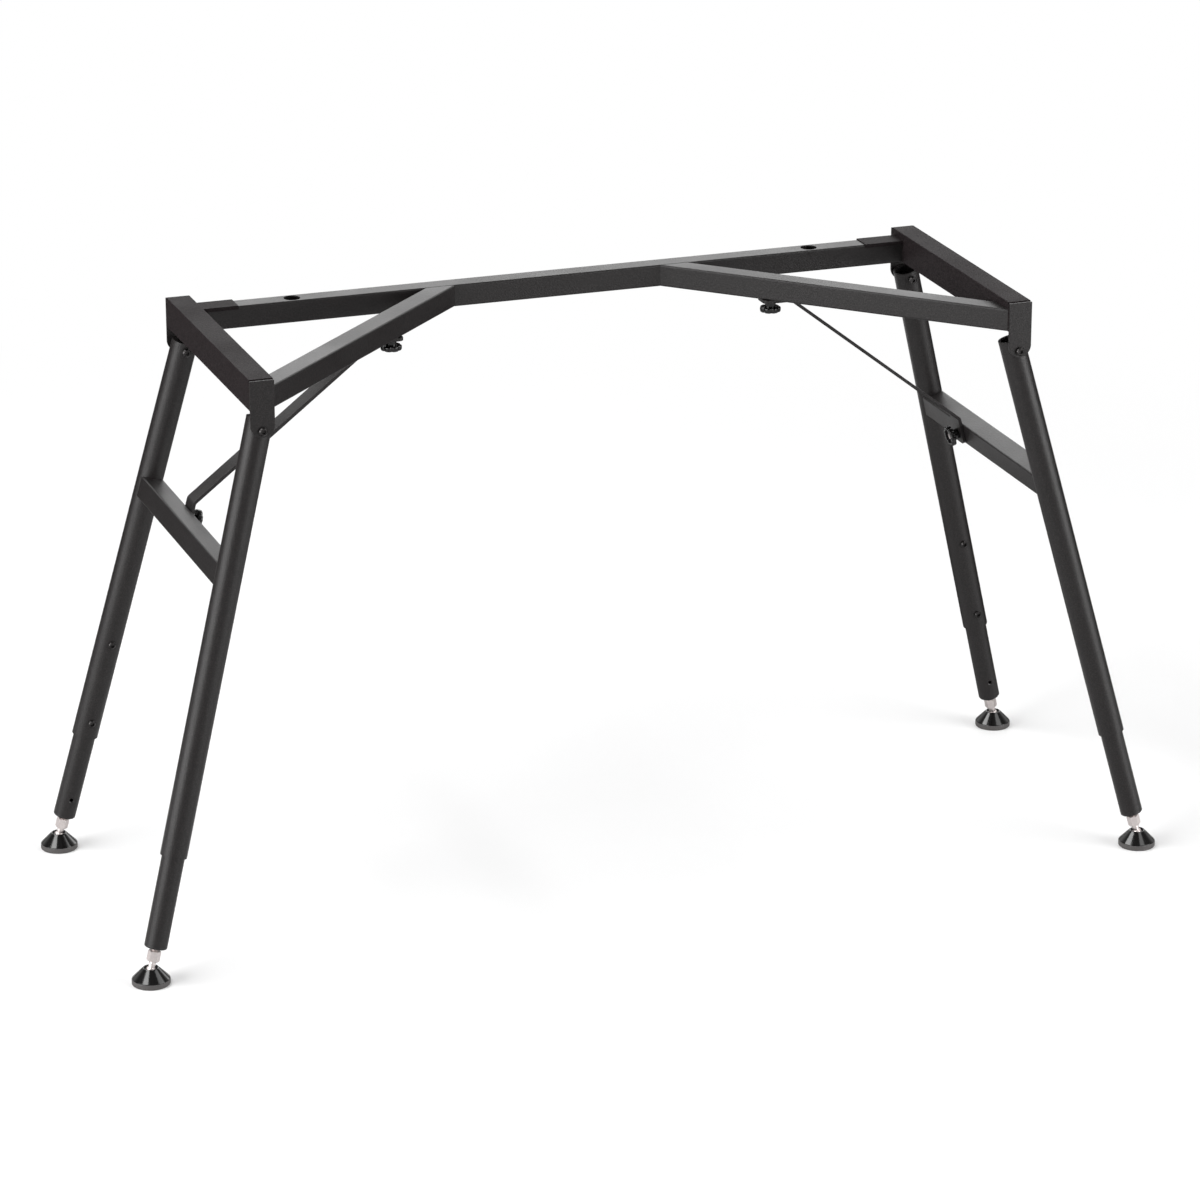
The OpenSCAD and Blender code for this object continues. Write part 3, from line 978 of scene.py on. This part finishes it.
@dataclass
class Strut:
    """One brace with its two star knobs and their studs."""

    bench: Bench
    side: Side
    bar_t_mm: float = 4.5
    corner_mm: float = 7.0
    bar_edge_mm: float = 0.5
    stud_edge_mm: float = 0.4
    # The star knob, measured out from the bar.
    knob_d_mm: float = 28.5
    hub_d_mm: float = 14.6
    hub_low_mm: float = 0.3
    disc_low_mm: float = 7.9
    # Height above the disc's lower side and share of the full width, up the disc.
    disc_rings: tuple[tuple[float, float], ...] = (
        (0.0, 0.93), (0.35, 0.97), (1.0, 1.0), (4.5, 1.0), (5.5, 0.987),
        (6.2, 0.957), (6.7, 0.91), (6.95, 0.86), (7.0, 0.82),
    )
    # Steps inwards and down from the disc's face to the floor of its dish.
    dish_steps: tuple[tuple[float, float], ...] = (
        (0.4, 0.0), (0.4, 0.1), (0.3, 0.25), (0.2, 0.4), (0.1, 0.5), (0.2, 1.3),
    )
    # The finger grooves between the lobes, which a higher power makes narrower.
    lobes: int = 7
    lobe_steps: int = 16
    groove_mm: float = 1.9
    groove_power: int = 3

    def build(self) -> None:
        """Builds every piece of one brace."""
        self.bar()
        for level in Level:
            self.knob(level)
            self.stud(level)

    def bar(self) -> None:
        """Bent flat bar with round corners at both ends."""
        name = f"brace_{self.side.value}"
        blank = Blank.from_node(self.bench.node(name))
        blank.rounded(self.corner_mm, segments=6, test=as_long_as(self.bar_t_mm))
        blank.rounded(self.bar_edge_mm, sharper_than=50)
        self.bench.hang(blank, name, "bar", Slot.RAIL_COAT)

    def turning_line(self, level: Level) -> tuple[Vector, Vector]:
        """The middle of a knob's seat and the direction away from the bar."""
        joint = self.bench.joint(f"turn_{level.value}_{self.side.value}")
        return Vector(joint["pos_m"]), Vector(joint["axis"])

    def knob(self, level: Level) -> None:
        """Lobed disc on a round hub, moulded in one.

        Args:
            level: The brace's end that it holds.
        """
        blank = self.disc()
        self.hub(blank)
        self.dish(blank)
        seat, axis = self.turning_line(level)
        blank.placed(toward(axis, seat))
        self.bench.hang(blank, f"knob_{level.value}_{self.side.value}", "moulding", Slot.KNOB)

    def disc(self) -> Blank:
        """Draws the lobed disc ring by ring out of its outline.

        Returns:
            The disc, at its height above the bar.
        """
        mesh = bmesh.new()
        radius = self.knob_d_mm / 2
        bmesh.ops.create_circle(
            mesh, radius=radius * MM, segments=self.lobes * self.lobe_steps,
        )
        ring = mesh.verts[:]
        edges = mesh.edges[:]
        for vert in ring:
            turn = math.atan2(vert.co.y, vert.co.x) * self.lobes
            dip = self.groove_mm * (0.5 - 0.5 * math.cos(turn)) ** self.groove_power
            vert.co *= 1 - dip / radius
        before = 1.0
        for number, (height, share) in enumerate(self.disc_rings):
            if number:
                drawn = bmesh.ops.extrude_edge_only(mesh, edges=edges)["geom"]
                ring = [item for item in drawn if isinstance(item, bmesh.types.BMVert)]
                edges = [item for item in drawn if isinstance(item, bmesh.types.BMEdge)]
            bmesh.ops.scale(mesh, vec=(share / before, share / before, 1), verts=ring)
            for vert in ring:
                vert.co.z = (self.disc_low_mm + height) * MM
            before = share
        return Blank(mesh).closed()

    def hub(self, blank: Blank) -> None:
        """Draws the hub out of the disc's underside.

        Args:
            blank: The knob's disc.
        """
        face = min(blank.mesh.faces, key=lambda item: item.calc_center_median().z)
        for height in (self.disc_low_mm, self.hub_low_mm):
            face = bmesh.ops.extrude_discrete_faces(blank.mesh, faces=[face])["faces"][0]
            for vert in face.verts:
                vert.co.xy = vert.co.xy.normalized() * self.hub_d_mm / 2 * MM
                vert.co.z = height * MM

    def dish(self, blank: Blank) -> None:
        """Sinks a dish with a round lip in the knob's face.

        Args:
            blank: The knob with its hub.
        """
        face = max(blank.mesh.faces, key=lambda item: item.calc_center_median().z)
        for inwards, down in self.dish_steps:
            bmesh.ops.inset_individual(
                blank.mesh, faces=[face], thickness=inwards * MM, depth=-down * MM,
            )

    def stud(self, level: Level) -> None:
        """Threaded stud that the knob turns on.

        Args:
            level: The brace's end that it is in.
        """
        name = f"stud_{level.value}_{self.side.value}"
        blank = Blank.from_node(self.bench.node(name)).rounded(self.stud_edge_mm, segments=2)
        blank.measured(*self.turning_line(level))
        self.bench.hang(blank, name, "steel", Slot.STUD)


@dataclass(frozen=True)
class SoftBox:
    """An evenly lit panel that faces the stand."""

    name: str
    # From the stand's middle to the panel.
    direction: tuple[float, float, float]
    # How wide and how tall it looks from the stand.
    spread_deg: tuple[float, float]
    # How bright its face is, where 1 is white.
    radiance: float
    distance: float = 6.0
    stand_middle: tuple[float, float, float] = (0.0, 0.0, 0.4)

    def hang(self) -> None:
        """Hangs the panel in its place, out of the camera's sight."""
        width, height = (
            2 * self.distance * math.tan(math.radians(angle / 2)) for angle in self.spread_deg
        )
        data = bpy.data.lights.new(self.name, "AREA")
        data.shape = "RECTANGLE"
        data.size = width
        data.size_y = height
        data.energy = self.radiance * math.pi * width * height
        lamp = bpy.data.objects.new(self.name, data)
        lamp.visible_camera = False
        out = Vector(self.direction).normalized()
        lamp.location = out * self.distance + Vector(self.stand_middle)
        lamp.rotation_euler = (-out).to_track_quat("-Z", "Y").to_euler()
        bpy.context.scene.collection.objects.link(lamp)


SOFT_BOXES = (
    SoftBox("high_left_soft_box", (-0.58, 0.0, 0.81), (46, 18), radiance=8.2),
    SoftBox("high_right_soft_box", (0.56, -0.36, 0.75), (34, 18), radiance=2.8, distance=3.2),
    SoftBox("low_left_panel", (-0.92, -0.23, 0.16), (45, 28), radiance=6.3),
    SoftBox("low_right_panel", (0.74, -0.65, 0.16), (36, 28), radiance=8.0),
    SoftBox("back_panel", (0.43, 0.84, 0.45), (66, 24), radiance=2.3),
)


@dataclass
class Studio:
    """Pale floor, soft boxes, plain world and the photograph's camera."""

    azimuth_deg: float = -19.664
    elevation_deg: float = 19.544
    camera_place: tuple[float, float, float] = (-2.166787, -6.070617, 2.645577)
    focal_px: float = 5079.15
    image_px: float = 1200.0
    sensor_mm: float = 36.0
    view_limit: float = 200.0
    floor_size: float = 60.0
    # The floor keeps its shading to the first radius and is plain white from the second.
    shaded_inner: float = 1.3
    shaded_outer: float = 2.6
    # A painted pool of light on the floor, which only reflections show, ends between these two,
    # measured away from the camera.
    lit_end: float = 0.3
    dark_start: float = 0.85
    painted_front_level: float = 0.7
    # A second painted pool of light behind the stand, which only the right end's inner sides show.
    patch_place: tuple[float, float, float] = (0.0, 1.85, 0.0)
    patch_inner: float = 0.5
    patch_outer: float = 1.35
    painted_back_level: float = 1.0
    floor_glow: float = 0.15
    # The room's own light, where 1 is white.
    dim_level: float = 0.18
    # Where the backdrop starts and is whole, as the cosine of the angle from the camera's view.
    backdrop_start: float = 0.2
    backdrop_whole: float = 0.8
    # How bright the backdrop is at the floor, and how high (as a sine) it is at full.
    backdrop_foot: float = 0.0
    backdrop_full: float = 0.38

    def build(self) -> None:
        """Builds the whole studio."""
        self.camera()
        self.floor()
        self.world()
        for box in SOFT_BOXES:
            box.hang()
        bpy.context.scene.view_settings.view_transform = "Standard"

    def camera(self) -> None:
        """Stands the camera where the photograph was taken."""
        data = bpy.data.cameras.new("photo_camera")
        data.sensor_width = self.sensor_mm
        data.lens = self.focal_px / self.image_px * self.sensor_mm
        data.clip_end = self.view_limit
        camera = bpy.data.objects.new("photo_camera", data)
        elevation = math.radians(self.elevation_deg)
        forward = Vector(self.level_view()) * math.cos(elevation)
        forward.z = -math.sin(elevation)
        camera.location = self.camera_place
        camera.rotation_euler = forward.to_track_quat("-Z", "Y").to_euler()
        bpy.context.scene.collection.objects.link(camera)
        bpy.context.scene.camera = camera

    def floor(self) -> None:
        """Lays a pale floor that keeps the stand's shadow."""
        mesh = bmesh.new()
        bmesh.ops.create_grid(mesh, x_segments=1, y_segments=1, size=self.floor_size / 2)
        data = bpy.data.meshes.new("floor")
        mesh.to_mesh(data)
        mesh.free()
        floor = bpy.data.objects.new("floor", data)
        bpy.context.scene.collection.objects.link(floor)
        data.materials.append(self.floor_paint())

    def floor_paint(self) -> bpy.types.Material:
        """Makes white matt paint that loses its shading far from the stand. Reflections and bounced
        light see the paint only in two painted pools of light, and black elsewhere.

        Returns:
            The paint.
        """
        material, tree = blank_material("white_floor_paint")
        place = add_node(tree, "ShaderNodeTexCoord").outputs["Object"]
        away = add_node(
            tree, "ShaderNodeVectorMath", {"operation": "LENGTH"}, {0: place},
        )
        depth = add_node(
            tree, "ShaderNodeVectorMath", {"operation": "DOT_PRODUCT", 1: self.level_view()},
            {0: place},
        )
        from_patch = add_node(
            tree, "ShaderNodeVectorMath", {"operation": "DISTANCE", 1: self.patch_place},
            {0: place},
        )
        # The shading share that camera rays see, and two painted pools of light that all other rays
        # see.
        shaded, painted_front_pool, painted_back_pool = (
            add_node(
                tree, "ShaderNodeMapRange",
                {
                    "interpolation_type": "SMOOTHSTEP",
                    "From Min": start, "From Max": end, "To Min": level, "To Max": 0.0,
                },
                {"Value": distance.outputs["Value"]},
            ).outputs["Result"]
            for distance, start, end, level in (
                (away, self.shaded_inner, self.shaded_outer, 1.0),
                (depth, self.lit_end, self.dark_start, self.painted_front_level),
                (from_patch, self.patch_inner, self.patch_outer, self.painted_back_level),
            )
        )
        # Painted light: the brighter of the two painted pools of light.
        lit = add_node(
            tree, "ShaderNodeMath", {"operation": "MAXIMUM"}, {0: painted_front_pool, 1: painted_back_pool},
        ).outputs[0]
        camera_ray = add_node(tree, "ShaderNodeLightPath").outputs["Is Camera Ray"]
        painted = add_node(
            tree, "ShaderNodeMix", None, {SHARE: camera_ray, NUMBER_A: lit, NUMBER_B: shaded},
        )
        paint = add_node(
            tree, "ShaderNodeMix",
            {"data_type": "RGBA", COLOUR_A: linear("#000000"), COLOUR_B: linear("#e6e6e6")},
            {SHARE: painted.outputs[0]},
        )
        matt = add_node(
            tree, "ShaderNodeBsdfDiffuse", None, {"Color": paint.outputs[COLOUR_OUT]},
        )
        clear_level = add_node(
            tree, "ShaderNodeMapRange", {"To Min": 1.0, "To Max": self.floor_glow},
            {"Value": shaded},
        )
        # Painted light: for reflections the floor glows only inside the painted pools of light.
        painted_pool_glow = add_node(
            tree, "ShaderNodeMapRange", {"To Min": 0.0, "To Max": self.floor_glow},
            {"Value": lit},
        )
        level = add_node(
            tree, "ShaderNodeMix", None,
            {
                SHARE: camera_ray,
                NUMBER_A: painted_pool_glow.outputs[0], NUMBER_B: clear_level.outputs[0],
            },
        )
        strength = add_node(
            tree, "ShaderNodeMath", {"operation": "MULTIPLY"},
            {0: self.background_rays(tree), 1: level.outputs[0]},
        )
        glow = add_node(
            tree, "ShaderNodeEmission", {"Color": linear("#ffffff")},
            {"Strength": strength.outputs[0]},
        )
        both = add_node(
            tree, "ShaderNodeAddShader", None, {0: matt.outputs[0], 1: glow.outputs[0]},
        )
        # From below the floor is clear, so that it doesn't hide the stand's underside.
        below = add_node(tree, "ShaderNodeNewGeometry").outputs["Backfacing"]
        clear = add_node(tree, "ShaderNodeBsdfTransparent")
        surface = add_node(
            tree, "ShaderNodeMixShader", None,
            {0: below, 1: both.outputs[0], 2: clear.outputs[0]},
        )
        add_node(tree, "ShaderNodeOutputMaterial", None, {"Surface": surface.outputs[0]})
        return material

    def level_view(self) -> tuple[float, float, float]:
        """The level direction away from the camera."""
        azimuth = math.radians(self.azimuth_deg)
        return -math.sin(azimuth), math.cos(azimuth), 0.0

    def background_rays(self, tree: bpy.types.NodeTree) -> bpy.types.NodeSocket:
        """Picks the rays that see the white background itself.

        Args:
            tree: The node tree that needs them.

        Returns:
            A socket that is 1 for camera, glossy and transmission rays.
        """
        rays = add_node(tree, "ShaderNodeLightPath")
        clear = add_node(
            tree, "ShaderNodeMath", {"operation": "ADD", "use_clamp": True},
            {0: rays.outputs["Is Glossy Ray"], 1: rays.outputs["Is Transmission Ray"]},
        )
        return add_node(
            tree, "ShaderNodeMath", {"operation": "ADD", "use_clamp": True},
            {0: rays.outputs["Is Camera Ray"], 1: clear.outputs[0]},
        ).outputs[0]

    def world(self) -> None:
        """Stands a white backdrop behind the stand, in an otherwise dim room."""
        world = bpy.data.worlds.new("studio")
        bpy.context.scene.world = world
        world.use_nodes = True
        tree = world.node_tree
        tree.nodes.clear()
        direction = add_node(tree, "ShaderNodeTexCoord").outputs["Generated"]
        behind = add_node(
            tree, "ShaderNodeVectorMath", {"operation": "DOT_PRODUCT", 1: self.level_view()},
            {0: direction},
        )
        backdrop = add_node(
            tree, "ShaderNodeMapRange",
            {
                "interpolation_type": "SMOOTHSTEP",
                "From Min": self.backdrop_start, "From Max": self.backdrop_whole,
            },
            {"Value": behind.outputs["Value"]},
        )
        # The backdrop is dimmer near the floor, as a lit paper roll is.
        rise = add_node(tree, "ShaderNodeSeparateXYZ", None, {0: direction})
        height = add_node(
            tree, "ShaderNodeMapRange",
            {
                "interpolation_type": "SMOOTHSTEP",
                "From Min": 0.0, "From Max": self.backdrop_full, "To Min": self.backdrop_foot,
            },
            {"Value": rise.outputs["Z"]},
        )
        sheet = add_node(
            tree, "ShaderNodeMath", {"operation": "MULTIPLY"},
            {0: height.outputs["Result"], 1: backdrop.outputs["Result"]},
        )
        room = add_node(
            tree, "ShaderNodeMath", {"operation": "MULTIPLY"},
            {0: self.background_rays(tree), 1: sheet.outputs[0]},
        )
        camera_ray = add_node(tree, "ShaderNodeLightPath").outputs["Is Camera Ray"]
        seen = add_node(
            tree, "ShaderNodeMath", {"operation": "MAXIMUM"},
            {0: camera_ray, 1: room.outputs[0]},
        )
        strength = add_node(
            tree, "ShaderNodeMapRange", {"To Min": self.dim_level, "To Max": 1.0},
            {"Value": seen.outputs[0]},
        )
        white = add_node(
            tree, "ShaderNodeBackground", {"Color": linear("#ffffff")},
            {"Strength": strength.outputs["Result"]},
        )
        add_node(tree, "ShaderNodeOutputWorld", None, {"Surface": white.outputs[0]})


def main() -> None:
    """Loads the frame and builds every sub-assembly around it."""
    logging.basicConfig(level=logging.INFO, format="%(message)s")
    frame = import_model()
    Studio().build()
    bench = Bench(frame)
    TopFrame(bench).build()
    for side in Side:
        LegFrame(bench, side).build()
        Strut(bench, side).build()
        for row in Row:
            Foot(bench, side, row).build()


if __name__ == "__main__":
    main()
